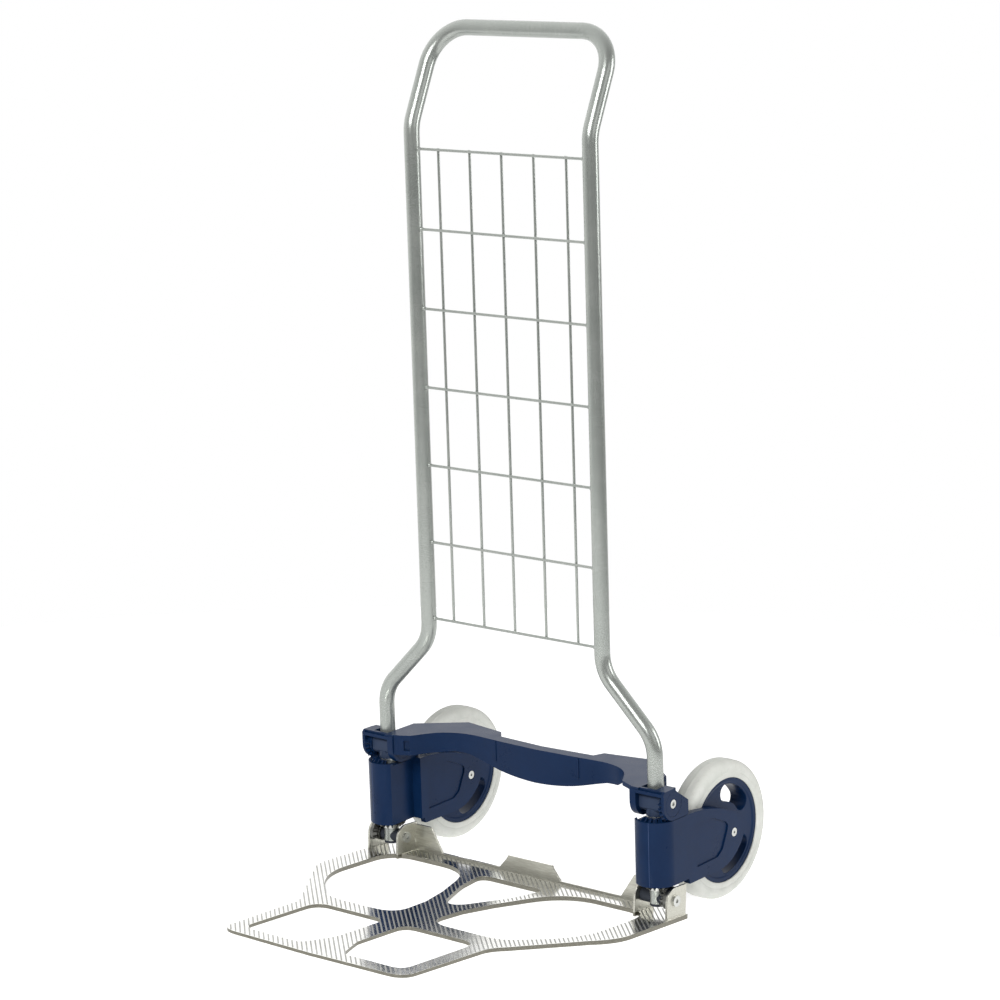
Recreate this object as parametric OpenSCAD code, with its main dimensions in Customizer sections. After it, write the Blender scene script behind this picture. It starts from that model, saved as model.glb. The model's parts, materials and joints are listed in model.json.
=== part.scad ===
// Folding luggage cart: a bent-tube frame on two swivelling wheel forks and a folding toe plate.
// The toe plate, both forks and the crossbar turn together through bevel teeth round each tube.
// Millimetres, +Z up, +Y backwards, origin on the floor under the middle of the tube plane.

/* [Frame] */
// Outer diameter of the frame tube
tube_d = 20; // [18:0.5:24]
// Wall of the frame tube
tube_wall = 1.5; // [1:0.1:3]
// Centre distance of the uprights
upright_w = 279; // [260:1:290]
// Centre distance of the flared feet
foot_w = 434; // [425:1:440]
// Forward lean of the frame when the toe plate lies flat
lean = 4; // [2:0.5:4]
// Bend radius of the tube's centre line
bend_r = 50; // [35:1:55]
// Where the flare starts, measured up the tube
flare_top = 304; // [290:1:320]
// Where the uprights bend back to the handle
handle_bend = 962; // [950:1:990]
// Angle of the handle from the uprights
handle_angle = 25; // [15:1:35]
// Slant length from that bend to the handle bar
handle_len = 128; // [110:1:150]

/* [Wire mesh] */
// Diameter of the wires
wire_d = 3.4; // [3:0.1:4]
// Number of wires across
cross_wires = 7; // [5:1:7]
// Spacing of the wires across
cross_pitch = 100; // [90:1:100]
// Number of upright wires
upright_wires = 5; // [3:1:5]
// Spacing of the upright wires
upright_pitch = 50; // [40:1:50]
// Height of the topmost wire up the tube
mesh_top = 932; // [920:1:935]

/* [Wheels] */
// Wheel diameter
wheel_d = 178; // [170:1:178]
// Tyre width
tyre_w = 32; // [28:1:32]
// Diameter where the tyre meets the hub
hub_d = 138; // [126:1:140]
// Distance of the axle behind the tube
trail = 127; // [124:0.5:127.5]
// How far the wheel's middle sits inboard of the tube
wheel_inset = 2; // [0:0.5:2]
// Axle diameter
axle_d = 10; // [8:1:12]

/* [Toe plate] */
// Width of the toe plate
toe_w = 494; // [485:1:500]
// Reach of the toe plate in front of the tubes
toe_reach = 400; // [370:1:410]
// Thickness at the back of the plate
toe_t = 6; // [5:0.5:6]
// Thickness at its front edge
toe_nose = 4; // [2:0.5:4]
// Height of the toe plate's pivot above the floor
toe_pivot = 27; // [26:0.5:29]

/* [Crossbar] */
// Height of the crossbar's pivot up the tube
bar_pivot = 151; // [150:0.5:155]
// Height of the crossbar's top above its pivot
bar_top = 19.5; // [18:0.5:20]
// Diameter of the round pivot discs
disc_d = 32; // [28:1:33]

/* [Bevel teeth] */
// Pitch radius of the metal gears at the feet
low_gear_r = 16; // [15:1:16]
// Pitch radius of the moulded gears at the crossbar
top_gear_r = 20; // [19:1:20]

/* [Hidden] */

$fn = 96;
cut = 1;                       // overshoot of a cutting tool
run_fit = 0.05;                // radial clearance of a turning fit
blue = [0.15, 0.22, 0.38];
blue_grey = [0.24, 0.30, 0.42];
dark_blue = [0.10, 0.13, 0.20];
silver = [0.70, 0.71, 0.69];
bright = [0.78, 0.78, 0.77];
zinc = [0.72, 0.73, 0.72];
tyre_grey = [0.79, 0.79, 0.76];

half_foot = foot_w / 2;
half_upright = upright_w / 2;
wheel_r = wheel_d / 2;
side_face = 27;                // outer faces of cheeks, forks and ears, from the tube
ear_t = 3;
ear_in = 22;                   // inner ear's outer face, from the tube
sleeve_high = 130;             // sleeve's upper end, up the tube
// the wheel's height up the tube when it stands on the floor
wheel_up = (wheel_r - trail * sin(lean)) / cos(lean);
// the toe plate's pivot up the tube
toe_up = toe_pivot / cos(lean);
low_back = 4;                  // from a gear's pitch circle to the back of its body
sleeve_low = toe_up + low_gear_r + low_back;
tube_end = toe_up - 7;         // lower end of the tube
foot_pin_up = 52;              // pin through tube and foot plug

// ---- frames of reference ----
// up the leaning tube plane
module leaning() rotate([lean, 0, 0]) children();
// at one foot: right as drawn, left mirrored
module at_foot(side) leaning() mirror([side < 0 ? 1 : 0, 0, 0]) translate([half_foot, 0, 0]) children();
// at one foot's toe-plate pivot, upright to the floor
module at_toe_pivot(side)
    mirror([side < 0 ? 1 : 0, 0, 0])
        translate([half_foot, -toe_up * sin(lean), toe_pivot]) children();
module at_axle(side) at_foot(side) translate([-wheel_inset, trail, wheel_up]) rotate([0, 90, 0]) children();

// ---- helpers ----
module ring(d, bore, h) difference() {
    cylinder(d = d, h = h);
    translate([0, 0, -cut]) cylinder(d = bore, h = h + 2 * cut);
}
module across(d, x0, x1) translate([x0, 0, 0]) rotate([0, 90, 0]) cylinder(d = d, h = x1 - x0);
module box(lo, hi) translate(lo) cube(hi - lo);

// hexagonal socket sunk to depth from the face at x, towards -X or, with back, towards +X
socket_w = 5.5;
module hex_socket(x, back = false, depth = 1.8)
    translate([x, 0, 0]) rotate([0, back ? 90 : -90, 0]) translate([0, 0, -cut])
        cylinder(d = socket_w, h = depth + cut, $fn = 6);

// ---- frame ----
bend_swell = 0.1;              // how much a bend swells the tube's diameter
// straight run of a rod, then the rest from its end
module run_straight(len, d) {
    cylinder(d = d, h = len);
    translate([0, 0, len]) children();
}
// bend towards +X turned by dir, then the rest from its end
module run_bend(angle, dir, d) rotate([0, 0, dir]) {
    translate([bend_r, 0, 0]) rotate([90, 0, 180]) rotate_extrude(angle = angle)
        translate([bend_r, 0]) circle(d = d + bend_swell);
    translate([bend_r, 0, 0]) rotate([0, angle, 0]) translate([-bend_r, 0, 0])
        rotate([0, 0, -dir]) children();
}
flare = half_foot - half_upright;
function setback(angle) = bend_r * tan(angle / 2);
flare_low = flare_top - flare;                     // 45 degree flare
handle_straight = handle_len - setback(handle_angle) - setback(90);
module half_tube(d)
    translate([half_foot, 0, tube_end])
        run_straight(flare_low - setback(45) - tube_end, d)
        run_bend(45, 180, d)
        run_straight(flare * sqrt(2) - 2 * setback(45), d)
        run_bend(45, 0, d)
        run_straight(handle_bend - flare_top - setback(45) - setback(handle_angle), d)
        run_bend(handle_angle, 90, d)
        run_straight(handle_straight, d)
        run_bend(90, 180, d)
        run_straight(half_upright - setback(90), d);
module whole_tube(d) {
    half_tube(d);
    mirror([1, 0, 0]) half_tube(d);
}
module frame_tube() color(silver) leaning() difference() {
    whole_tube(tube_d);
    whole_tube(tube_d - 2 * tube_wall);
    for (side = [-1, 1]) translate([side * half_foot, 0, 0]) {
        translate([0, 0, bar_pivot]) across(6, -tube_d, tube_d);
        translate([0, 0, toe_up]) across(toe_bolt_d + 2 * run_fit, -tube_d, tube_d);
        translate([0, 0, foot_pin_up]) rotate([90, 0, 0]) cylinder(d = 4, h = 2 * tube_d, center = true);
    }
}

// ---- wire mesh ----
wire_reach = half_upright - sqrt(pow(tube_d / 2, 2) - pow(wire_d / 2, 2));
module cross_wire() across(wire_d, -wire_reach, wire_reach);
module mesh_horizontal_wires() color(silver) leaning()
    for (i = [0 : cross_wires - 1]) translate([0, 0, mesh_top - i * cross_pitch]) cross_wire();
mesh_low = mesh_top - (cross_wires - 1) * cross_pitch;
wire_sink = 0.2;               // how far crossing wires are pressed into each other
module mesh_vertical_wires() color(silver) leaning()
    for (i = [0 : upright_wires - 1])
        translate([(i - (upright_wires - 1) / 2) * upright_pitch, wire_d - wire_sink, mesh_low - wire_d / 2])
            cylinder(d = wire_d, h = mesh_top - mesh_low + wire_d);
module wire_welds() color(silver) leaning()
    for (side = [-1, 1], i = [0 : cross_wires - 1])
        translate([side * half_upright, 0, mesh_top - i * cross_pitch]) difference() {
            translate([-side * (tube_d / 2 + 0.4), 0, 0]) sphere(d = 6.4);
            cylinder(d = tube_d, h = 20, center = true);
            across(wire_d, -2 * tube_d, 2 * tube_d);
        }

// ---- bevel teeth ----
// A gear has its axis on Z, its pitch circle at z = 0 and the apex of its 45 degree cone above it.
// Each gear has one tooth for each millimetre of pitch radius, so all teeth have one pitch.
tooth_pitch = 2 * PI;
tooth_rise = 1.6;              // above the pitch cone
tooth_fall = 2.1;              // below it
tooth_face = 6;                // length along the cone
face_step = tooth_face / 2 / sqrt(2);
root_step = tooth_fall / sqrt(2);
module bevel_tooth(r) {
    root = 0.52 * tooth_pitch;
    tip = 0.22 * tooth_pitch;
    translate([r, 0, 0]) rotate([0, 45, 0]) rotate([90, 0, 90]) translate([0, 0, -tooth_face / 2])
        linear_extrude(tooth_face) polygon([
            [-root / 2, -tooth_fall - 0.4], [root / 2, -tooth_fall - 0.4],
            [tip / 2, tooth_rise], [-tip / 2, tooth_rise]]);
}
// teeth numbered first to last, number 0 at angle 0, shifted by a share of one tooth
module bevel_teeth(r, first, last, shift = 0)
    for (i = [first : last]) rotate([0, 0, (i + shift) * 360 / r]) bevel_tooth(r);
// the body under the teeth, over an arc of sweep degrees from angle start
module bevel_body(r, bore, back, start = 0, sweep = 360)
    rotate([0, 0, start]) rotate_extrude(angle = sweep) polygon([
        [bore / 2, -back], [r + face_step - root_step, -back],
        [r + face_step - root_step, -face_step - root_step],
        [r - face_step - root_step, face_step - root_step],
        [bore / 2, face_step - root_step]]);

// ---- feet ----
plug_top = 62;
boss_side_r = 9;               // bosses that fill the space between tube and ears
block_in = 21.5;               // their inner and outer faces, from the tube
block_out = 12;
foot_rim = 3;                  // rim under the tube's end
toe_bolt_d = 8;
module foot_block(side) color(dark_blue) at_foot(side) difference() {
    union() {
        difference() {
            union() {
                translate([0, 0, toe_up]) across(2 * boss_side_r, -block_in, block_out);
                translate([0, 0, tube_end - foot_rim]) cylinder(d = tube_d, h = foot_rim);
            }
            translate([0, 0, tube_end]) cylinder(d = tube_d, h = 2 * tube_d);
        }
        translate([0, 0, tube_end - foot_rim])
            cylinder(d = tube_d - 2 * tube_wall, h = plug_top - tube_end + foot_rim);
    }
    translate([0, 0, toe_up]) across(toe_bolt_d + 2 * run_fit, -2 * side_face, 2 * side_face);
    translate([0, 0, foot_pin_up]) rotate([90, 0, 0]) cylinder(d = 4, h = 2 * tube_d, center = true);
}
module foot_pin(side) color(zinc) at_foot(side) translate([0, 0, foot_pin_up]) rotate([90, 0, 0])
    cylinder(d = 4, h = tube_d - 1, center = true);

// ---- toe plate ----
// a right half mirrored into a closed outline; points on the middle line are kept once
function mirrored(points) = concat(points,
    [for (i = [len(points) - 1 : -1 : 0]) if (points[i].x > 0) [-points[i].x, points[i].y]]);
// points of a curve from a to c pulled towards b
function curve(a, b, c, steps = 10) =
    [for (i = [0 : steps]) let (t = i / steps) a * (1 - t) * (1 - t) + b * 2 * t * (1 - t) + c * t * t];
function arc(centre, r, from, to, steps = 10) =
    [for (i = [0 : steps]) let (a = from + (to - from) * i / steps) centre + r * [cos(a), sin(a)]];
half_toe = toe_w / 2;
waist = 152;                   // half width of the narrow front part
toe_back = 22;                 // plate's back edge behind the pivots
shoulder_y = -112;             // where the wide part starts to narrow
waist_y = -246;
module toe_outline() polygon(mirrored(concat(
    [[0, toe_back], [half_toe, toe_back]],
    curve([half_toe, shoulder_y + 20], [half_toe, shoulder_y - 8], [half_toe - 22, shoulder_y - 32]),
    curve([waist + 12, waist_y + 14], [waist - 1, waist_y], [waist - 1, waist_y - 16]),
    curve([waist - 5, -toe_reach + 28], [waist - 5, -toe_reach + 4], [waist - 30, -toe_reach + 3]),
    [[0, -toe_reach]])));
module side_opening() polygon(concat(
    curve([60, -56], [80, -6], [126, -5]),
    curve([172, -5], [210, -5], [210, -42]),
    curve([209, -98], [209, -140], [176, -176]),
    curve([150, -202], [138, -214], [105, -214]),
    curve([60, -214], [28, -214], [28, -186]),
    [[30, -150], [42, -104]]));
module centre_opening() polygon(mirrored(concat(
    [[0, -14]],
    curve([36, -14], [54, -14], [48, -34]),
    curve([42, -62], [32, -92], [16, -126], 6),
    curve([16, -126], [9, -138], [0, -138], 5))));
module front_opening() polygon(concat(
    curve([34, -242], [16, -242], [16, -260]),
    curve([17, -330], [24, -350], [31, -366]),
    curve([31, -366], [35, -376], [46, -376], 4),
    curve([108, -376], [127, -376], [127, -358]),
    curve([128, -264], [128, -242], [106, -242])));
ear_top = 17;                  // ears above the pivot
wing_start = 146;              // where the flange starts to rise to the wings
flange_h = 10;                 // height of the flange above the floor
tab_h = 28;                    // height of its middle tab
module flange_outline() polygon(mirrored([
    [0, tab_h], [36, tab_h], [38, tab_h - 4], [50, flange_h], [wing_start, flange_h],
    [wing_start + 20, toe_pivot + ear_top - 3], [half_foot - ear_in - 1, toe_pivot + ear_top - 3],
    [half_foot - ear_in - 1, 1]]));
module ear_outline() difference() {
    union() {
        circle(r = ear_top);
        translate([0, -toe_pivot + 1]) square([toe_back, toe_pivot + ear_top - 1]);
        translate([-ear_top, -toe_pivot + 1]) square([ear_top + 1, toe_pivot - 1]);
    }
    circle(d = toe_bolt_d);
}
module ear(x0) translate([x0, 0, 0]) rotate([90, 0, 90]) linear_extrude(ear_t) ear_outline();
module toe_plate() color(bright) {
    // everything is drawn from the pivots' line, then moved to the floor
    translate([0, -toe_up * sin(lean), 0]) {
        difference() {
            linear_extrude(toe_t) toe_outline();
            for (side = [-1, 1]) mirror([side < 0 ? 1 : 0, 0, 0])
                translate([0, 0, -cut]) linear_extrude(toe_t + 2 * cut) {
                    side_opening();
                    front_opening();
                }
            translate([0, 0, -cut]) linear_extrude(toe_t + 2 * cut) centre_opening();
            // the top falls towards the front edge
            translate([0, 0, toe_t]) rotate([atan((toe_t - toe_nose) / toe_reach), 0, 0])
                box([-toe_w, -2 * toe_reach, 0], [toe_w, 0, toe_t]);
        }
        translate([0, toe_back, 0]) rotate([90, 0, 0]) linear_extrude(ear_t) flange_outline();
    }
    for (side = [-1, 1]) at_toe_pivot(side) {
        ear(side_face - ear_t);
        ear(-ear_in - ear_t);
    }
}
module toe_gear(side) color(zinc) at_foot(side) translate([0, 0, toe_up])
    rotate([0, -90, 0]) translate([0, 0, -low_gear_r]) {
    // the back of the gear lies on the outer ear
    bevel_body(low_gear_r, toe_bolt_d, side_face - ear_t - low_gear_r, -115, 140);
    bevel_teeth(low_gear_r, -5, 0, 0.5);
    translate([0, 0, low_gear_r - side_face + ear_t])
        ring(22, toe_bolt_d, side_face - ear_t - block_out - 0.5);
}
toe_head_t = 2.5;
module toe_bolts(side) color(zinc) at_toe_pivot(side) difference() {
    union() {
        across(toe_bolt_d, -ear_in - ear_t, side_face);
        across(14, side_face, side_face + toe_head_t);
        across(14, -ear_in - ear_t - toe_head_t, -ear_in - ear_t);
    }
    hex_socket(side_face + toe_head_t);
    hex_socket(-ear_in - ear_t - toe_head_t, true);
}

// ---- forks ----
fork_bore = tube_d + 2 * run_fit;
sleeve_flat = -19;             // the sleeve's flat inner side
step_y = 24;                   // where the inner plate steps out from the sleeve
step_t = 10;
gear_seat_r = 23.6;            // recess in the sleeve's top round the moulded teeth
gear_seat = bar_pivot - top_gear_r - low_back;
fork_in = -33;                 // fork's inner plate
fork_in_t = 8;
fork_out_t = 9;
fork_low = 40;
tip = [trail - 8, wheel_up];
tip_r = 27.5;
panel_sink = 1.8;              // depth of the panels in both faces
module fork_profile(start) polygon(concat(
    [[start, sleeve_high], [start, sleeve_low], [29, sleeve_low], [31, fork_low]],
    curve([92, fork_low], [118, fork_low], tip + tip_r * [cos(-52), sin(-52)]),
    arc(tip, tip_r, -48, 46),
    curve(tip + tip_r * [cos(50), sin(50)], [100, 124], [44, sleeve_high - 0.5])));
module panel_profile(start) polygon([
    [start, 57], [90, 58], [101, 65], [112, 88],
    [113, 94], [109, 99], [80, 112], [start, 113]]);
module on_side(x0, t) translate([x0, 0, 0]) rotate([90, 0, 90]) linear_extrude(t) children();
module sleeve_outline() intersection() {
    union() {
        circle(r = side_face);
        translate([-side_face, 0]) square([side_face, step_y + 2]);
    }
    translate([sleeve_flat, -side_face]) square(2 * side_face);
}
module fork(side) color(blue) at_foot(side) difference() {
    union() {
        difference() {
            union() {
                translate([0, 0, sleeve_low]) linear_extrude(sleeve_high - sleeve_low) sleeve_outline();
                on_side(side_face - fork_out_t, fork_out_t) fork_profile(0);
                on_side(fork_in, fork_in_t) fork_profile(step_y);
                box([fork_in, step_y, sleeve_low], [side_face, step_y + step_t, sleeve_high]);
            }
            translate([0, 0, gear_seat]) cylinder(r = gear_seat_r, h = sleeve_high);
        }
        translate([0, 0, bar_pivot - top_gear_r]) {
            bevel_body(top_gear_r, fork_bore + 2, low_back, -118, 140);
            bevel_teeth(top_gear_r, -6, 1);
        }
    }
    cylinder(d = fork_bore, h = 2 * sleeve_high);
    on_side(side_face - panel_sink, panel_sink + cut) panel_profile(47);
    on_side(fork_in - cut, panel_sink + cut) panel_profile(39);
    translate([0, trail, wheel_up]) {
        across(axle_d, fork_in - cut, side_face + cut);
        across(screw_head_d + 1, side_face - screw_sink, side_face + cut);
        across(screw_head_d + 1, fork_in - cut, fork_in + screw_sink);
    }
}
module sleeve_gear(side) color(zinc) at_foot(side) translate([0, 0, toe_up + low_gear_r]) mirror([0, 0, 1]) {
    bevel_body(low_gear_r, fork_bore, low_back);
    bevel_teeth(low_gear_r, 0, low_gear_r - 1);
}
// rings that keep the sleeve between foot block and crossbar
module thrust_washer(side) color(zinc) at_foot(side) {
    low = toe_up + 11;
    translate([0, 0, low]) ring(24, tube_d, toe_up + low_gear_r - (face_step - root_step) - 0.1 - low);
    translate([0, 0, bar_pivot - top_gear_r + face_step - root_step + 0.1]) ring(24, tube_d, 1.5);
}

// ---- crossbar ----
collar_half = 16;
skirt = 17.6;                  // collar's round lower part, down to the thrust washer
cheek_t = 6;
inner_cheek = -25;             // inner cheek's far side, from the tube
outer_cheek = 23;              // outer cheek's near side
module crossbar_collar(side) color(blue_grey) at_foot(side) translate([0, 0, bar_pivot]) difference() {
    union() {
        intersection() {
            across(29, -collar_half, collar_half);
            box([-collar_half, -13, -11], [collar_half, 13, 11]);
        }
        translate([0, 0, -skirt]) cylinder(d = 25, h = skirt);
    }
    cylinder(d = tube_d, h = 4 * tube_d, center = true);
    across(6, -side_face, side_face);
}
disc_r = disc_d / 2;
module pivot_disc(side) color(blue) at_foot(side) translate([0, 0, bar_pivot]) difference() {
    union() {
        across(disc_d, collar_half, side_face);
        across(disc_d, inner_cheek, -collar_half);
    }
    across(6, -2 * side_face, 2 * side_face);
    across(12, side_face - 3, side_face + cut);
    across(12, inner_cheek - cut, inner_cheek + 3);
}
module crossbar_screw(side) color(zinc) at_foot(side) translate([0, 0, bar_pivot]) difference() {
    union() {
        across(6, inner_cheek + 3, side_face - 3);
        across(11, side_face - 3, side_face - 0.5);
        across(11, inner_cheek + 0.5, inner_cheek + 3);
    }
    hex_socket(side_face - 0.5);
    hex_socket(inner_cheek + 0.5, true);
}
plate_t = 6;
wall_t = 5;
bar_low = -25;                 // lowest point of the crossbar's belly, from its pivots
slot = 11.5;                   // half width of the slot that clears the tube
bar_end_low = -7;              // front wall's lower edge near the left end; the right end has none
cheek_r = 20.5;                  // cheeks' round lower ends
cheek_back = 30;
web_low = -20.5;               // web behind the tube, from the pivots
bar_end = half_foot + inner_cheek + cheek_t / 2;
pocket_turn = 27.5;            // direction of the front wall near the left end
pocket_sink = 3;
function reversed(points) = [for (i = [len(points) - 1 : -1 : 0]) points[i]];
// a right half from the middle outwards, continued to the left end
function both_halves(points) =
    concat([for (i = [len(points) - 1 : -1 : 1]) [-points[i].x, points[i].y]], points);
function bar_front(shift) = concat(
    [[0, 35 + shift], [60, 37.5 + shift]],
    curve([96, 40 + shift], [140, 42 + shift], [160, 12 + shift]),
    [[172, -8 + shift], [bar_end, -19 + shift]]);
module bar_plan() polygon(mirrored(concat(
    bar_front(0), [[half_foot - slot, -20], [half_foot - slot, 38]],
    [[148, 82], [84, 71], [78, 56], [0, 51]])));
module bar_wall() polygon(concat(both_halves(bar_front(0)), reversed(both_halves(bar_front(wall_t)))));
belly = concat(curve([0, bar_low], [44, bar_low], [80, bar_low + 10]), [[112, -7], [132, -5]]);
module bar_wall_side() polygon(concat(
    [[-half_foot, bar_top - 1], [-half_foot, bar_end_low], [-150, bar_end_low]],
    both_halves(belly),
    [[144, 2], [156, bar_top - plate_t], [half_foot, bar_top - plate_t], [half_foot, bar_top - 1]]));
module rear_lip() polygon(concat(
    [[half_foot - slot, 38], [148, 82], [84, 71], [78, 56], [0, 51]],
    [[0, 47], [81, 52], [87, 67], [146, 78.5], [half_foot - slot, 34]]));
module outer_cheek_side() polygon(concat(
    [[-cheek_r, bar_top - 3], [3 - cheek_r, bar_top], [0, bar_top], [cheek_back, -2], [cheek_back, web_low]],
    [[6, web_low]], arc([0, 0], cheek_r, -82, -180)));
module inner_cheek_side() polygon(concat(
    [[-cheek_r, bar_top - 3], [3 - cheek_r, bar_top - 1], [cheek_back, bar_top - 1], [cheek_back, web_low]],
    [[6, web_low]], arc([0, 0], cheek_r, -82, -180)));
module bar_end_piece() {
    on_side(outer_cheek, side_face - outer_cheek) outer_cheek_side();
    on_side(inner_cheek, -collar_half - inner_cheek) inner_cheek_side();
    // block over the outer cheek, bar in front of the tube, web behind it
    box([slot, -cheek_r + 3, bar_top - plate_t], [side_face - 1, 6, bar_top]);
    box([inner_cheek + 1, -cheek_r, 12.5], [side_face - 1, -14, bar_top - 3]);
    box([inner_cheek + 1, -cheek_r + 3, 12.5], [side_face - 1, -14, bar_top]);
    box([inner_cheek + 1, 16, web_low], [side_face - 1, cheek_back, -14]);
    rotate([0, -90, 0]) translate([0, 0, -top_gear_r]) {
        bevel_body(top_gear_r, disc_d - 4, outer_cheek + 1 - top_gear_r, 164, 124);
        bevel_teeth(top_gear_r, 9, 15, 0.5);
    }
}
module crossbar() color(blue) leaning() translate([0, 0, bar_pivot]) difference() {
    union() {
        translate([0, 0, bar_top - plate_t]) linear_extrude(plate_t) bar_plan();
        intersection() {
            translate([0, 0, bar_low]) linear_extrude(bar_top - 1 - bar_low) bar_wall();
            translate([0, 60, 0]) rotate([90, 0, 0]) linear_extrude(100) bar_wall_side();
        }
        for (side = [0, 1]) mirror([side, 0, 0]) {
            translate([0, 0, bar_top - plate_t - 8]) linear_extrude(plate_t + 7) rear_lip();
            for (x = [30, 66]) box([x, 37, -8], [x + 2.5, 49, bar_top - 1]);
            translate([half_foot, 0, 0]) bar_end_piece();
        }
    }
    for (side = [0, 1]) mirror([side, 0, 0]) translate([half_foot, 0, 0])
        across(disc_d + 2 * run_fit, inner_cheek - cut, side_face + cut);
    // shallow pocket in the front wall near the left end
    translate([-176.5, -10.3, 5.6]) rotate([0, 0, pocket_turn])
        box([-4, -wall_t, -6.5], [4, pocket_sink, 6.5]);
}

// ---- wheels ----
screw_head_d = 11;
screw_sink = 3;
hub_w = 28;
boss_w = 38;
boss_d = 34;
web_w = 25;
rim_in = 61.5;                   // radius where the rim meets the web
bearing_d = 22;
bearing_w = 8;
gap_out = side_face - fork_out_t + wheel_inset;   // fork plates, from the wheel's middle
gap_in = fork_in + fork_in_t + wheel_inset;
module axle(side) color(zinc) at_axle(side) difference() {
    translate([0, 0, fork_in + wheel_inset + screw_sink])
        cylinder(d = axle_d, h = side_face - fork_in - 2 * screw_sink);
    translate([0, 0, side_face + wheel_inset - screw_sink - 14]) cylinder(d = 5, h = 20);
    translate([0, 0, fork_in + wheel_inset + screw_sink + 14 - 20]) cylinder(d = 5, h = 20);
}
module axle_screw() {
    cylinder(d = 5, h = 12);
    translate([0, 0, -screw_sink + 0.4]) difference() {
        cylinder(d = screw_head_d, h = screw_sink - 0.4);
        translate([0, 0, -cut]) cylinder(d = 4, h = cut + 1.6, $fn = 6);
    }
}
module axle_screws(side) color(zinc) at_axle(side) {
    translate([0, 0, side_face + wheel_inset - screw_sink]) mirror([0, 0, 1]) axle_screw();
    translate([0, 0, fork_in + wheel_inset + screw_sink]) axle_screw();
}
slots = 3;
slot_turn = 126;               // where the first slot starts, from straight down
slot_r = [35.5, 58.5];             // slots' inner and outer radius
slot_arc = 47.5;                 // their sweep, without the round ends
module hub_slot() {
    r = (slot_r[0] + slot_r[1]) / 2;
    w = slot_r[1] - slot_r[0];
    rotate_extrude(angle = slot_arc) translate([slot_r[0], -boss_w]) square([w, 2 * boss_w]);
    for (a = [0, slot_arc]) rotate([0, 0, a]) translate([r, 0, -boss_w]) cylinder(d = w, h = 2 * boss_w);
}
module hub(side) color(blue) at_axle(side) difference() {
    rotate_extrude() polygon([
        [bearing_d / 2 - 3, -boss_w / 2 + bearing_w], [bearing_d / 2, -boss_w / 2 + bearing_w],
        [bearing_d / 2, -boss_w / 2], [boss_d / 2, -boss_w / 2], [boss_d / 2 + 1, -web_w / 2 - 1],
        [boss_d / 2 + 3, -web_w / 2], [rim_in - 2, -web_w / 2], [rim_in, -hub_w / 2 + 1],
        [rim_in + 1, -hub_w / 2], [hub_d / 2 - 1, -hub_w / 2], [hub_d / 2, -hub_w / 2 + 1],
        [hub_d / 2, hub_w / 2 - 1], [hub_d / 2 - 1, hub_w / 2], [rim_in + 1, hub_w / 2],
        [rim_in, hub_w / 2 - 1], [rim_in - 2, web_w / 2], [boss_d / 2 + 3, web_w / 2],
        [boss_d / 2 + 1, web_w / 2 + 1], [boss_d / 2, boss_w / 2], [bearing_d / 2, boss_w / 2],
        [bearing_d / 2, boss_w / 2 - bearing_w], [bearing_d / 2 - 3, boss_w / 2 - bearing_w]]);
    for (i = [0 : slots - 1]) rotate([0, 0, i * 360 / slots + slot_turn]) hub_slot();
}
module tyre(side) color(tyre_grey) at_axle(side) rotate_extrude() difference() {
    union() {
        translate([hub_d / 2 - 2, -tyre_w / 2]) square([wheel_r - hub_d / 2 - 7, tyre_w]);
        polygon(concat(
            arc([wheel_r - 9, -tyre_w / 2 + 9], 9, -90, -12, 8),
            [[wheel_r, 0]],
            arc([wheel_r - 9, tyre_w / 2 - 9], 9, 12, 90, 8)));
    }
    // seat of the hub's rim
    translate([0, -hub_w / 2]) square([hub_d / 2, hub_w]);
    square([hub_d - 8, 4 * tyre_w], center = true);
}
module bearings(side) color(bright) at_axle(side)
    for (z = [-boss_w / 2, boss_w / 2 - bearing_w])
        translate([0, 0, z]) ring(bearing_d, axle_d + 2 * run_fit, bearing_w);
module spacers(side) color(zinc) at_axle(side) {
    translate([0, 0, gap_in]) ring(18, axle_d, -boss_w / 2 - 0.2 - gap_in);
    translate([0, 0, boss_w / 2 + 0.2]) ring(18, axle_d, gap_out - boss_w / 2 - 0.2);
}

frame_tube();
mesh_horizontal_wires();
mesh_vertical_wires();
wire_welds();
foot_block(-1);  // foot_block_left
foot_block(1);  // foot_block_right
foot_pin(-1);  // foot_pin_left
foot_pin(1);  // foot_pin_right
crossbar_collar(-1);  // crossbar_collar_left
crossbar_collar(1);  // crossbar_collar_right
crossbar();
pivot_disc(-1);  // pivot_disc_left
pivot_disc(1);  // pivot_disc_right
crossbar_screw(-1);  // crossbar_screw_left
crossbar_screw(1);  // crossbar_screw_right
fork(-1);  // fork_left
fork(1);  // fork_right
sleeve_gear(-1);  // sleeve_gear_left
sleeve_gear(1);  // sleeve_gear_right
thrust_washer(-1);  // thrust_washer_left
thrust_washer(1);  // thrust_washer_right
toe_plate();
toe_gear(-1);  // toe_gear_left
toe_gear(1);  // toe_gear_right
toe_bolts(-1);  // toe_bolts_left
toe_bolts(1);  // toe_bolts_right
axle(-1);  // axle_left
axle(1);  // axle_right
axle_screws(-1);  // axle_screws_left
axle_screws(1);  // axle_screws_right
hub(-1);  // hub_left
hub(1);  // hub_right
tyre(-1);  // tyre_left
tyre(1);  // tyre_right
bearings(-1);  // bearings_left
bearings(1);  // bearings_right
spacers(-1);  // spacers_left
spacers(1);  // spacers_right
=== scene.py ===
"""Looks of the folding luggage cart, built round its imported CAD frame. Metres, +Z up, front towards -Y."""
import json
import math
import random

import bmesh
import bpy
from mathutils import Matrix, Vector

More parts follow.
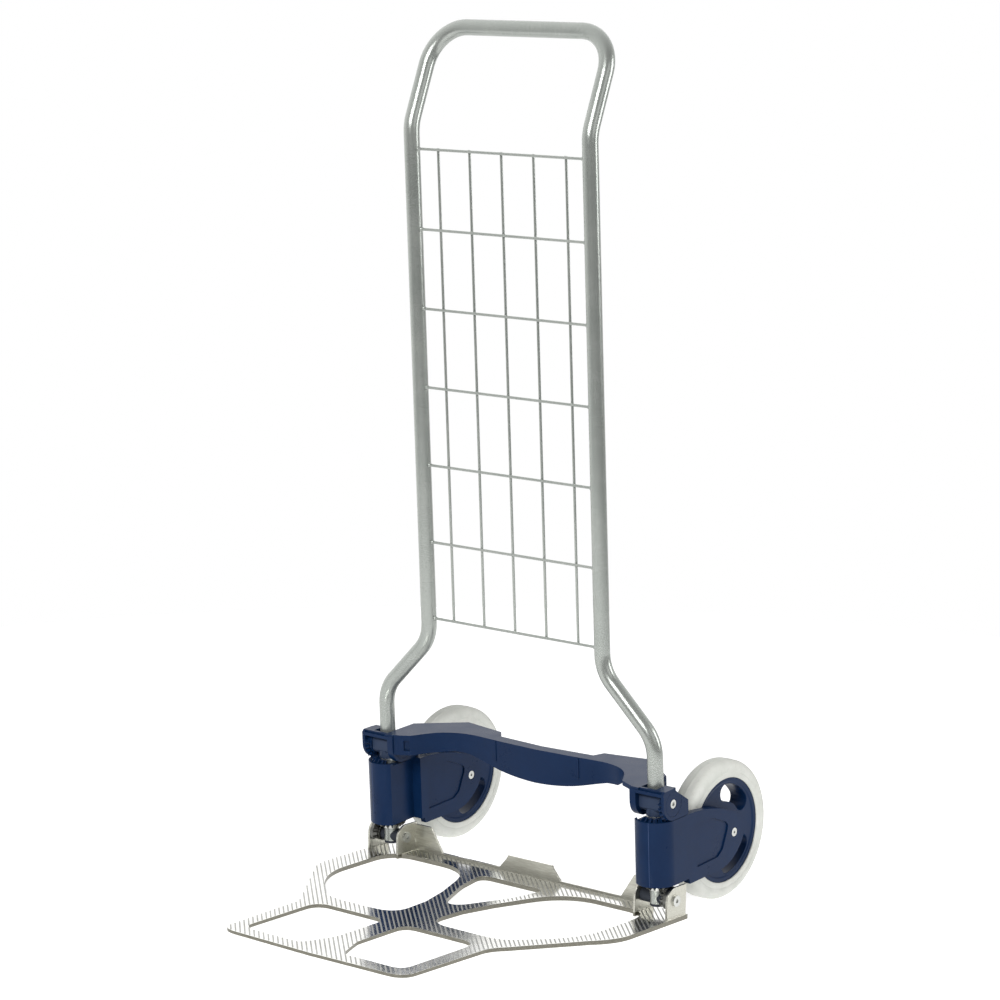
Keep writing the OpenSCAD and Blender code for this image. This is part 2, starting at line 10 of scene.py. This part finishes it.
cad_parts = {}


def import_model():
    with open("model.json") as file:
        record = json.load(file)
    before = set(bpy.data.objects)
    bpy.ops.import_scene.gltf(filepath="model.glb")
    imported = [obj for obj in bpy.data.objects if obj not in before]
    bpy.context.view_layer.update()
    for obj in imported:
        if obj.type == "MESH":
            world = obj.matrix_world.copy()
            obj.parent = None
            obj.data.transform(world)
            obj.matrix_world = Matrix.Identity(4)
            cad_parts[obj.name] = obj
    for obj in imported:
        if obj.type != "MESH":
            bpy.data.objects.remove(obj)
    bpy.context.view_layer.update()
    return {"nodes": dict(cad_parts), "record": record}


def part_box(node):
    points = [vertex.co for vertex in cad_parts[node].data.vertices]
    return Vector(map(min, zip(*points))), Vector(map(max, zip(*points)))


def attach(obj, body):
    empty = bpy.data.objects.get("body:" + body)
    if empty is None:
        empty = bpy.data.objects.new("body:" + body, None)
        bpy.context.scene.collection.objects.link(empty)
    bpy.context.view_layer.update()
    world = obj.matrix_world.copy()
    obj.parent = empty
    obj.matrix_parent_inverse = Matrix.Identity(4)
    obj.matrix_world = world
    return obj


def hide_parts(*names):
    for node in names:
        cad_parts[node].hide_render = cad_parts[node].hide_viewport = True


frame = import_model()
nodes = frame["nodes"]
body_of = {n: b for b, members in frame["record"]["behaviour"]["bodies"].items() for n in members}
rng = random.Random(7)
SIDES = {"left": -1, "right": 1}

# The frame's lean, half the distance between the feet, and a height just over the toe plate's top.
LEAN = math.radians(4)
HALF_FOOT = 0.217
ABOVE_PLATE = 0.0065
leaning = Matrix.Rotation(LEAN, 4, "X")


# ---------------------------------------------------------------- materials
def srgb(r, g, b):
    def lin(c):
        c /= 255
        return c / 12.92 if c <= 0.04045 else ((c + 0.055) / 1.055) ** 2.4
    return (lin(r), lin(g), lin(b), 1.0)


class Nodes:
    """Short calls for building one material's nodes."""

    def __init__(self, name):
        self.mat = bpy.data.materials.new(name)
        self.mat.use_nodes = True
        self.tree = self.mat.node_tree
        self.tree.nodes.clear()
        self.out = self.tree.nodes.new("ShaderNodeOutputMaterial")
        self.shader = self.tree.nodes.new("ShaderNodeBsdfPrincipled")
        self.link(self.shader.outputs[0], self.out.inputs[0])
        self.coords = self.tree.nodes.new("ShaderNodeTexCoord").outputs["Object"]

    def link(self, a, b):
        self.tree.links.new(a, b)

    def set(self, **values):
        for key, value in values.items():
            self.shader.inputs[key.replace("_", " ")].default_value = value

    def stretched(self, scale, turn):
        n = self.tree.nodes.new("ShaderNodeMapping")
        n.inputs["Scale"].default_value = scale
        n.inputs["Rotation"].default_value = turn
        self.link(self.coords, n.inputs["Vector"])
        return n.outputs[0]

    def noise(self, scale, detail=3, rough=0.55, vector=None):
        n = self.tree.nodes.new("ShaderNodeTexNoise")
        n.inputs["Scale"].default_value = scale
        n.inputs["Detail"].default_value = detail
        n.inputs["Roughness"].default_value = rough
        self.link(vector or self.coords, n.inputs["Vector"])
        return n.outputs["Fac"]

    def z_of(self, vector):
        n = self.tree.nodes.new("ShaderNodeSeparateXYZ")
        self.link(vector, n.inputs[0])
        return n.outputs[2]

    def facing(self, sign):
        """1 on faces that look up (sign 1) or down (sign -1) in the piece's own frame, 0 on the others."""
        normal = self.tree.nodes.new("ShaderNodeTexCoord").outputs["Normal"]
        return self.range(self.z_of(normal), 0, 1, 0.8 * sign, 0.97 * sign)

    def height(self, low, high):
        """0 up to the height low in the piece's own frame, 1 from the height high."""
        return self.range(self.z_of(self.coords), 0, 1, low, high)

    def range(self, value, low, high, from_low=0.35, from_high=0.65):
        """The value's span from_low to from_high, spread over low to high."""
        n = self.tree.nodes.new("ShaderNodeMapRange")
        for key, x in (("From Min", from_low), ("From Max", from_high), ("To Min", low), ("To Max", high)):
            n.inputs[key].default_value = x
        self.link(value, n.inputs["Value"])
        return n.outputs[0]

    def mix(self, fac, a, b):
        n = self.tree.nodes.new("ShaderNodeMix")
        n.data_type = "RGBA"
        self.link(fac, n.inputs["Factor"])
        for socket, x in ((n.inputs[6], a), (n.inputs[7], b)):
            if isinstance(x, tuple):
                socket.default_value = x
            else:
                self.link(x, socket)
        return n.outputs[2]

    def add(self, a, b, share=1.0):
        """a plus a share of b."""
        n = self.tree.nodes.new("ShaderNodeMath")
        n.operation = "MULTIPLY_ADD"
        self.link(b, n.inputs[0])
        n.inputs[1].default_value = share
        self.link(a, n.inputs[2])
        return n.outputs[0]

    def bump(self, height, distance, strength=1.0):
        n = self.tree.nodes.new("ShaderNodeBump")
        n.inputs["Strength"].default_value = strength
        n.inputs["Distance"].default_value = distance
        self.link(height, n.inputs["Height"])
        self.link(n.outputs[0], self.shader.inputs["Normal"])

    def colour(self, value):
        self.link(value, self.shader.inputs["Base Color"])

    def roughness(self, value):
        self.link(value, self.shader.inputs["Roughness"])


def paint_material():
    """Satin silver paint with a fine metallic grain."""
    m = Nodes("satin_silver_paint")
    m.set(Metallic=0.6, IOR=1.45, Specular_IOR_Level=0.5)
    flakes = m.noise(2600, 1)
    cloudy = m.noise(14, 2)
    tone = m.mix(m.range(cloudy, 0, 1), srgb(144, 149, 144), srgb(154, 158, 153))
    m.colour(m.mix(m.range(flakes, 0, 0.3), tone, srgb(206, 210, 206)))
    m.roughness(m.range(m.add(flakes, cloudy, 0.5), 0.23, 0.31, 0.5, 1.0))
    m.bump(m.noise(900, 2), 0.00004, 0.5)
    return m.mat


def plastic_material(name, base, sheen_tone, rough):
    """Moulded plastic with a fine spark-eroded grain, dull patches and a few pale scuffs."""
    m = Nodes(name)
    m.set(IOR=1.46, Specular_IOR_Level=0.14)
    patches = m.noise(30, 4)
    grain = m.noise(1500, 2)
    specks = m.noise(420, 5, 0.75)
    tone = m.mix(m.range(patches, 0, 0.3), base, sheen_tone)
    m.colour(m.mix(m.range(specks, 0, 0.3, 0.68, 0.8), tone, srgb(120, 134, 160)))
    m.roughness(m.range(m.add(patches, specks, 0.4), rough - 0.03, rough + 0.05, 0.5, 0.9))
    m.bump(m.add(grain, specks, 0.8), 0.00005, 0.4)
    return m.mat


def metal_material(name, light, dark, rough):
    """Bare or plated metal: cloudy tone, fine grain and small dull spots."""
    m = Nodes(name)
    m.set(Metallic=1.0)
    cloudy = m.noise(18, 3)
    grain = m.noise(90, 5, 0.65)
    m.colour(m.mix(m.range(cloudy, 0, 1), light, dark))
    m.roughness(m.range(m.add(cloudy, grain, 0.6), rough - 0.02, rough + 0.06, 0.65, 1.1))
    m.bump(m.add(grain, m.noise(500, 2), 0.4), 0.00003, 0.35)
    return m.mat


def toe_plate_material():
    """Aluminium: mirror polished on top, brush lines on the flanges and underside. The cut edges are painted
    dark as shade, and the flanges, ears and underside are brushed and painted darker than the top as shade.
    """
    m = Nodes("polished_aluminium")
    m.set(Metallic=1.0)
    cloudy = m.noise(18, 3)
    lines = m.noise(120, 5, 0.65, m.stretched((0.6, 6, 6), (0, 0, math.radians(45))))
    up = m.facing(1)
    top = m.mix(m.range(cloudy, 0, 1), srgb(238, 238, 234), srgb(226, 225, 220))
    # Painted shade: the cut edges below the plate's top are coloured dark.
    edges = m.mix(m.range(lines, 0, 1), srgb(134, 132, 122), srgb(110, 108, 98))
    # The flanges, ears and underside: brush lines, and a tone painted darker than the top as shade.
    upright_brushed_and_shaded = m.mix(m.range(lines, 0, 1), srgb(200, 200, 190), srgb(178, 176, 165))
    sides = m.mix(m.height(ABOVE_PLATE - 0.001, ABOVE_PLATE), m.mix(m.facing(-1), edges, upright_brushed_and_shaded), upright_brushed_and_shaded)
    m.colour(m.mix(up, sides, top))
    m.roughness(m.add(m.range(lines, 0.3, 0.38), up, -0.2))
    m.bump(m.add(lines, m.noise(500, 2), 0.4), 0.00003, 0.1)
    return m.mat


def tyre_material():
    """Non-marking pale grey rubber with faint moulding mottle and road dust."""
    m = Nodes("pale_tyre_rubber")
    m.set(IOR=1.5, Specular_IOR_Level=0.35)
    mottle = m.noise(40, 5, 0.6)
    dust = m.noise(170, 5, 0.7)
    tone = m.mix(m.range(mottle, 0, 1), srgb(201, 203, 196), srgb(212, 213, 207))
    m.colour(m.mix(m.range(dust, 0, 0.22, 0.55, 0.75), tone, srgb(160, 158, 148)))
    m.roughness(m.range(mottle, 0.5, 0.66))
    m.bump(m.add(dust, m.noise(900, 2), 0.6), 0.00007, 0.5)
    return m.mat


PAINT = paint_material()
BLUE = plastic_material("blue_moulded_plastic", srgb(9, 33, 65), srgb(14, 42, 78), 0.3)
BLUE_GREY = plastic_material("blue_grey_plastic", srgb(44, 56, 78), srgb(54, 66, 90), 0.36)
SEAM = plastic_material("worn_parting_line", srgb(64, 82, 118), srgb(88, 104, 138), 0.4)
# Dark bush plastic, which the foot blocks also take as painted shade between the ears.
BUSH_AND_PAINTED_SHADE = plastic_material("dark_bush_plastic_and_painted_shade", srgb(46, 50, 58), srgb(60, 64, 70), 0.4)
ZINC = metal_material("zinc_plate", srgb(205, 206, 202), srgb(176, 178, 175), 0.3)
STEEL = metal_material("dark_gear_steel", srgb(120, 120, 116), srgb(84, 84, 82), 0.34)
POLISHED = toe_plate_material()
SATIN = metal_material("satin_rib_aluminium", srgb(176, 176, 172), srgb(158, 158, 154), 0.42)
TYRE = tyre_material()
BY_SLOT = {"frame_paint": PAINT, "blue_plastic": BLUE, "collar_plastic": BLUE_GREY,
           "bush_plastic": BUSH_AND_PAINTED_SHADE, "zinc": ZINC, "toe_aluminium": POLISHED, "tyre": TYRE}
DARK_STEEL = ("sleeve_gear_left", "sleeve_gear_right", "toe_gear_left", "toe_gear_right")


def slot_of(node):
    return nodes[node].data.materials[0].name.split(".")[0]


def material_of(node):
    if node in DARK_STEEL:
        return STEEL
    # The foot blocks are coloured dark as painted shade between the ears.
    return BUSH_AND_PAINTED_SHADE if node.startswith("foot_block") else BY_SLOT[slot_of(node)]


LOOK = {n: material_of(n) for n in nodes}
for name, obj in nodes.items():
    for held in obj.material_slots:
        held.material = LOOK[name]


# ---------------------------------------------------------------- helpers for pieces
def mesh_of(bm, name):
    mesh = bpy.data.meshes.new(name)
    bm.to_mesh(mesh)
    bm.free()
    return mesh


def piece(mesh, body, look, smooth=30):
    """An object named after its mesh. smooth is the largest angle in degrees that is shaded round, or 0."""
    obj = bpy.data.objects.new(mesh.name, mesh)
    bpy.context.scene.collection.objects.link(obj)
    mesh.materials.clear()
    mesh.materials.append(look)
    if smooth:
        mesh.shade_smooth()
        mesh.set_sharp_from_angle(angle=math.radians(smooth))
    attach(obj, body)
    return obj


def apply_modifiers(obj):
    graph = bpy.context.evaluated_depsgraph_get()
    mesh = bpy.data.meshes.new_from_object(obj.evaluated_get(graph))
    obj.modifiers.clear()
    obj.data = mesh


# ---------------------------------------------------------------- rounded edges
def softened(node, width, angle=32):
    """Replaces a CAD node by a copy with its edges rounded as moulding or deburring leaves them."""
    bm = bmesh.new()
    bm.from_mesh(nodes[node].data)
    bmesh.ops.remove_doubles(bm, verts=bm.verts, dist=2e-6)
    bmesh.ops.dissolve_limit(bm, angle_limit=math.radians(0.6), verts=bm.verts, edges=bm.edges)
    bmesh.ops.dissolve_degenerate(bm, dist=2e-5, edges=bm.edges)
    obj = piece(mesh_of(bm, node + "_rounded"), body_of[node], LOOK[node], 0)
    bevel = obj.modifiers.new("edges", "BEVEL")
    bevel.width = width
    bevel.segments = 2
    bevel.limit_method = "ANGLE"
    bevel.angle_limit = math.radians(angle)
    bevel.use_clamp_overlap = True
    bevel.harden_normals = False
    bevel.miter_outer = "MITER_ARC"
    apply_modifiers(obj)
    obj.data.shade_smooth()
    obj.data.set_sharp_from_angle(angle=math.radians(50))
    weighted = obj.modifiers.new("flat_faces", "WEIGHTED_NORMAL")
    weighted.weight = 100
    weighted.keep_sharp = True
    apply_modifiers(obj)
    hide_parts(node)


for side in SIDES:
    softened("fork_" + side, 0.0009)
    softened("crossbar_collar_" + side, 0.0008)
    softened("pivot_disc_" + side, 0.0007)
    softened("hub_" + side, 0.0006, angle=50)
    softened("foot_block_" + side, 0.0006)
softened("crossbar", 0.0009)
softened("toe_plate", 0.0006)


# ---------------------------------------------------------------- tyres
SIDE_X = 0.0159
TYRE_R = 0.089
BEAD_R = 0.067
BEAD_ROUND = 0.0012
SEAT_R = 0.069
SEAT_HALF = 0.014
SHOULDER_R = 0.009
MOULD_STEP = 0.00025
STEP_R = BEAD_R + 0.006
TURNS = 160


def arc(cx, cy, r, start, stop, steps):
    """Points of an arc about (cx, cy), from one angle in degrees to another."""
    turns = [math.radians(start + (stop - start) * i / steps) for i in range(steps + 1)]
    return [(cx + r * math.cos(a), cy + r * math.sin(a)) for a in turns]


def tyre_half():
    """Half of the closed section as (along the axle, from the axle), from the bead to mid tread."""
    seat = [(SEAT_HALF, SEAT_R), (SEAT_HALF, BEAD_R + 0.0003), (SEAT_HALF + 0.0005, BEAD_R)]
    bead = arc(SIDE_X - BEAD_ROUND, BEAD_R + BEAD_ROUND, BEAD_ROUND, -90, -8, 4)
    mould_line = [(SIDE_X, STEP_R), (SIDE_X, STEP_R + 0.0006), (SIDE_X - MOULD_STEP, STEP_R + 0.0009),
                  (SIDE_X - MOULD_STEP, STEP_R + 0.0014), (SIDE_X, STEP_R + 0.0017)]
    x, r = SIDE_X - SHOULDER_R, TYRE_R - SHOULDER_R
    shoulder = arc(x, r - 0.0002, SHOULDER_R, 0, 58, 9)
    tread = arc(x - 0.0002, r - 0.0003, SHOULDER_R + 0.0001, 62, 82, 4)
    crown = [(0.0045, TYRE_R - MOULD_STEP), (0.0006, TYRE_R - 0.0002), (0.0003, TYRE_R)]
    return seat + bead + mould_line + shoulder + tread + crown


def lathe(name, section, centre):
    """A closed section of (along X, from the axis) points swept round X, with its middle at centre."""
    bm = bmesh.new()
    rings = []
    for i in range(TURNS):
        a = 2 * math.pi * i / TURNS
        rings.append([bm.verts.new((x, r * math.cos(a), r * math.sin(a))) for x, r in section])
    for here, there in zip(rings, rings[1:] + rings[:1]):
        for k in range(len(section)):
            n = (k + 1) % len(section)
            bm.faces.new((here[k], here[n], there[n], there[k]))
    bmesh.ops.recalc_face_normals(bm, faces=bm.faces)
    bmesh.ops.transform(bm, matrix=Matrix.Translation(centre), verts=bm.verts)
    return mesh_of(bm, name)


for side in SIDES:
    half = tyre_half()
    closed = half + [(-x, r) for x, r in reversed(half)]
    low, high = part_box("tyre_" + side)
    ring_mesh = lathe("tyre_moulded_" + side, closed, (low + high) / 2)
    ring = piece(ring_mesh, "wheel_" + side, TYRE, 50)
    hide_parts("tyre_" + side)


# ---------------------------------------------------------------- parting lines on the sleeves
SLEEVE_R = 0.027
SEAM_LOW, SEAM_HIGH = 0.0475, 0.1295
SEAM_X = 0.007
SEAM_HALF = 0.00022
SEAM_RISE = 0.00012
SEAM_DEPTH = 0.0006


def bar_between(name, low, high):
    """A bar between two corners, leaning back with the frame."""
    low, high = Vector(low), Vector(high)
    place = leaning @ Matrix.Translation((low + high) / 2) @ Matrix.Diagonal((*(high - low), 1))
    bm = bmesh.new()
    bmesh.ops.create_cube(bm, size=1)
    bmesh.ops.transform(bm, matrix=place, verts=bm.verts)
    return mesh_of(bm, name)


for side, sign in SIDES.items():
    x = sign * (HALF_FOOT + SEAM_X)
    face = -math.sqrt(SLEEVE_R ** 2 - SEAM_X ** 2)
    seam = bar_between("sleeve_seam_" + side,
                       (x - SEAM_HALF, face - SEAM_RISE, SEAM_LOW),
                       (x + SEAM_HALF, face + SEAM_DEPTH, SEAM_HIGH))
    piece(seam, "fork_" + side, SEAM, 0)


# ---------------------------------------------------------------- ribs on the toe plate
RIB_PITCH = 0.0055
RIB_HALF = 0.0011
RIB_RISE = 0.00035
RIB_SINK = -0.0002
RIB_SLOPE = 0.0008
RIB_INSET = 0.0022
RIB_SHORTEST = 0.003
FIRST_RIB = 0.31


def top_triangles(node):
    """The triangles of the plate's top, without the ears and flanges that stand on it."""
    mesh = nodes[node].data
    mesh.calc_loop_triangles()
    out = []
    for t in mesh.loop_triangles:
        a, b, c = (mesh.vertices[i].co for i in t.vertices)
        n = (b - a).cross(c - a)
        if n.length > 0 and n.normalized().z > 0.99 and max(a.z, b.z, c.z) < ABOVE_PLATE:
            out.append((a.copy(), b.copy(), c.copy()))
    return out


def crossings(tri, across, shift):
    """Where the vertical plane across . p = shift cuts a triangle: the two end points, or None."""
    points = []
    for p, q in ((tri[0], tri[1]), (tri[1], tri[2]), (tri[2], tri[0])):
        dp, dq = across.dot(p) - shift, across.dot(q) - shift
        if (dp < 0) != (dq < 0):
            points.append(p.lerp(q, dp / (dp - dq)))
    return points if len(points) == 2 else None


def rib_runs(tris, along, across, shift):
    """Runs of the plate's top that one rib line covers, as pairs of points."""
    spans = []
    for tri in tris:
        got = crossings(tri, across, shift)
        if got:
            spans.append(sorted(got, key=lambda p: along.dot(p)))
    spans.sort(key=lambda s: along.dot(s[0]))
    runs = []
    for a, b in spans:
        if runs and along.dot(a) - along.dot(runs[-1][1]) < 1e-5:
            if along.dot(b) > along.dot(runs[-1][1]):
                runs[-1][1] = b
        else:
            runs.append([a, b])
    return runs


def add_rib(bm, start, end, across):
    """A low roof: its feet and ends are sunk in the plate, its ends slope and its top is flat."""
    slope = (end - start).normalized() * RIB_SLOPE
    rings = []
    for p, lift in ((start, RIB_SINK), (start + slope, RIB_RISE), (end - slope, RIB_RISE), (end, RIB_SINK)):
        width = RIB_HALF * (0.6 if lift > 0 else 1.0)
        section = ((-RIB_HALF, RIB_SINK), (-width, lift), (width, lift), (RIB_HALF, RIB_SINK))
        rings.append([bm.verts.new(p + across * w + Vector((0, 0, z))) for w, z in section])
    for r, s in zip(rings, rings[1:]):
        for k in range(3):
            bm.faces.new((r[k], r[k + 1], s[k + 1], s[k]))
        bm.faces.new((r[3], r[0], s[0], s[3]))


def rib_mesh():
    along = Vector((1, -1, 0)).normalized()
    across = Vector((1, 1, 0)).normalized()
    tris = top_triangles("toe_plate")
    bm = bmesh.new()
    first = math.ceil(min(across.dot(p) for t in tris for p in t) / RIB_PITCH)
    last = math.floor(max(across.dot(p) for t in tris for p in t) / RIB_PITCH)
    for i in range(first, last + 1):
        for a, b in rib_runs(tris, along, across, (i + FIRST_RIB) * RIB_PITCH):
            if (b - a).length >= 2 * RIB_INSET + RIB_SHORTEST:
                inset = (b - a).normalized() * RIB_INSET
                add_rib(bm, a + inset, b - inset, across)
    # A rib's end rings are flat, so their doubled points become one each.
    bmesh.ops.remove_doubles(bm, verts=bm.verts, dist=1e-7)
    bmesh.ops.dissolve_degenerate(bm, dist=1e-7, edges=bm.edges)
    bmesh.ops.recalc_face_normals(bm, faces=bm.faces)
    return mesh_of(bm, "toe_plate_ribs")


piece(rib_mesh(), "toe_plate", SATIN, 25)


# ---------------------------------------------------------------- spot welds of the wire mesh
WIRE_D = 0.0034
MESH_TOP = 0.932
WIRES_ACROSS, PITCH_ACROSS = 7, 0.1
WIRES_UPRIGHT, PITCH_UPRIGHT = 5, 0.05
WELD_R = 0.0017
WELD_FLATNESS = 0.62


def weld_mesh():
    """A flattened blob of its own size and turn at each crossing."""
    bm = bmesh.new()
    for i in range(WIRES_ACROSS):
        for j in range(WIRES_UPRIGHT):
            x = (j - (WIRES_UPRIGHT - 1) / 2) * PITCH_UPRIGHT
            place = leaning @ Matrix.Translation((x, WIRE_D / 2, MESH_TOP - i * PITCH_ACROSS))
            made = bmesh.ops.create_icosphere(bm, subdivisions=2, radius=WELD_R)
            turn = Matrix.Rotation(rng.uniform(0, math.pi), 4, "Y")
            size = Matrix.Diagonal((rng.uniform(1.15, 1.4), WELD_FLATNESS, rng.uniform(1.15, 1.4), 1))
            bmesh.ops.transform(bm, matrix=place @ turn @ size, verts=made["verts"])
    return mesh_of(bm, "wire_spot_welds")


piece(weld_mesh(), "frame", PAINT)


# ---------------------------------------------------------------- floor, light, camera
FLOOR_R = 1.8
UNDER_PLATE = -0.0004


def floor():
    m = Nodes("pale_floor")
    m.set(Base_Color=(0.72, 0.72, 0.72, 1), Roughness=0.9, Specular_IOR_Level=0.1)
    m.set(Emission_Color=(1, 1, 1, 1), Emission_Strength=0.74)
    bm = bmesh.new()
    bmesh.ops.create_circle(bm, cap_ends=True, segments=96, radius=FLOOR_R)
    mesh = mesh_of(bm, "floor")
    mesh.materials.append(m.mat)
    obj = bpy.data.objects.new("floor", mesh)
    bpy.context.scene.collection.objects.link(obj)
    obj.location.z = UNDER_PLATE


def light(name, place, target, size, power):
    """A rectangular lamp at place that points to target."""
    lamp = bpy.data.lights.new(name, "AREA")
    lamp.shape = "RECTANGLE"
    lamp.size, lamp.size_y = size
    lamp.energy = power
    obj = bpy.data.objects.new(name, lamp)
    bpy.context.scene.collection.objects.link(obj)
    obj.location = place
    obj.rotation_euler = (Vector(target) - Vector(place)).to_track_quat("-Z", "Y").to_euler()


def backdrop(tree, coords, toward, low, high):
    """A white background whose strength rises from low to high towards one direction."""
    dot, ramp = tree.nodes.new("ShaderNodeVectorMath"), tree.nodes.new("ShaderNodeMapRange")
    shade = tree.nodes.new("ShaderNodeBackground")
    dot.operation = "DOT_PRODUCT"
    dot.inputs[1].default_value = Vector(toward).normalized()
    for key, x in (("From Min", -0.3), ("From Max", 0.75), ("To Min", low), ("To Max", high)):
        ramp.inputs[key].default_value = x
    tree.links.new(coords.outputs["Generated"], dot.inputs[0])
    tree.links.new(dot.outputs["Value"], ramp.inputs["Value"])
    tree.links.new(ramp.outputs[0], shade.inputs["Strength"])
    return shade.outputs[0]


def world():
    """White studio: brightest in reflections from the back left, soft from the front, white where seen."""
    w = bpy.data.worlds.new("studio")
    bpy.context.scene.world = w
    w.use_nodes = True
    tree = w.node_tree
    tree.nodes.clear()
    new, link = tree.nodes.new, tree.links.new
    out, seen = new("ShaderNodeOutputWorld"), new("ShaderNodeBackground")
    by_camera, by_diffuse = new("ShaderNodeMixShader"), new("ShaderNodeMixShader")
    path, coords = new("ShaderNodeLightPath"), new("ShaderNodeTexCoord")
    seen.inputs["Color"].default_value = (1, 1, 1, 1)
    seen.inputs["Strength"].default_value = 1.0
    link(path.outputs["Is Diffuse Ray"], by_diffuse.inputs[0])
    link(backdrop(tree, coords, (-0.85, 0.45, 0.3), 0.1, 1.7), by_diffuse.inputs[1])
    link(backdrop(tree, coords, (0.15, -0.75, 0.6), 0.04, 0.36), by_diffuse.inputs[2])
    link(path.outputs["Is Camera Ray"], by_camera.inputs[0])
    link(by_diffuse.outputs[0], by_camera.inputs[1])
    link(seen.outputs[0], by_camera.inputs[2])
    link(by_camera.outputs[0], out.inputs[0])


def set_camera():
    lens = bpy.data.cameras.new("camera")
    lens.lens = 116.6
    lens.sensor_width = 36
    lens.clip_end = 400
    camera = bpy.data.objects.new("camera", lens)
    bpy.context.scene.collection.objects.link(camera)
    camera.location = (2.4893, -3.1211, 1.1574)
    camera.rotation_euler = [math.radians(a) for a in (80.592, -0.825, 39.201)]
    bpy.context.scene.camera = camera


floor()
world()
light("key", (0.7, -3.1, 2.4), (0, 0, 0.5), (1.4, 1.4), 105)
light("fill", (2.8, -0.6, 1.8), (0, 0, 0.4), (1.4, 1.8), 9)
light("rim", (2.4, 1.7, 1.4), (0, 0, 0.5), (1.0, 1.8), 36)
set_camera()
bpy.context.scene.view_settings.view_transform = "Standard"
